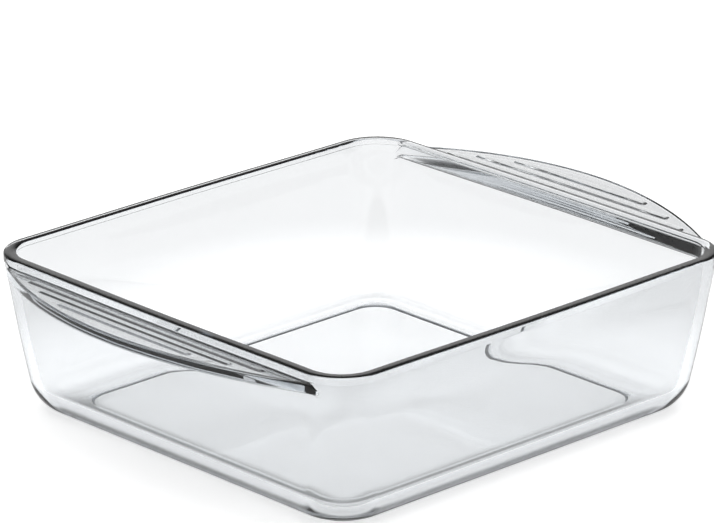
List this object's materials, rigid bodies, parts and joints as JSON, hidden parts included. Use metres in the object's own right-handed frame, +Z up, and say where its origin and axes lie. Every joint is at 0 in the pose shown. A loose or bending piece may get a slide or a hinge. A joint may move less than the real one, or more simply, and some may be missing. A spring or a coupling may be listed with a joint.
{
  "type": "rectangular glass oven dish",
  "caption": "Clear pressed-glass oven dish, nearly square, with sloping walls, rounded corners, a rim bead and a bow-shaped ribbed handle at each end.",
  "frame": {"origin": "middle of the dish on the surface that it stands on", "axes": "+X to one handle along the dish's length, +Y across it, +Z up"},
  "size_m": [0.2922, 0.226, 0.073],
  "materials": {
    "glass": "clear pressed borosilicate glass, fire-polished"
  },
  "bodies": {
    "root": {"floor": "glass", "walls": "glass", "rim": "glass", "handle_left": "glass", "handle_right": "glass"}
  },
  "joints": []
}
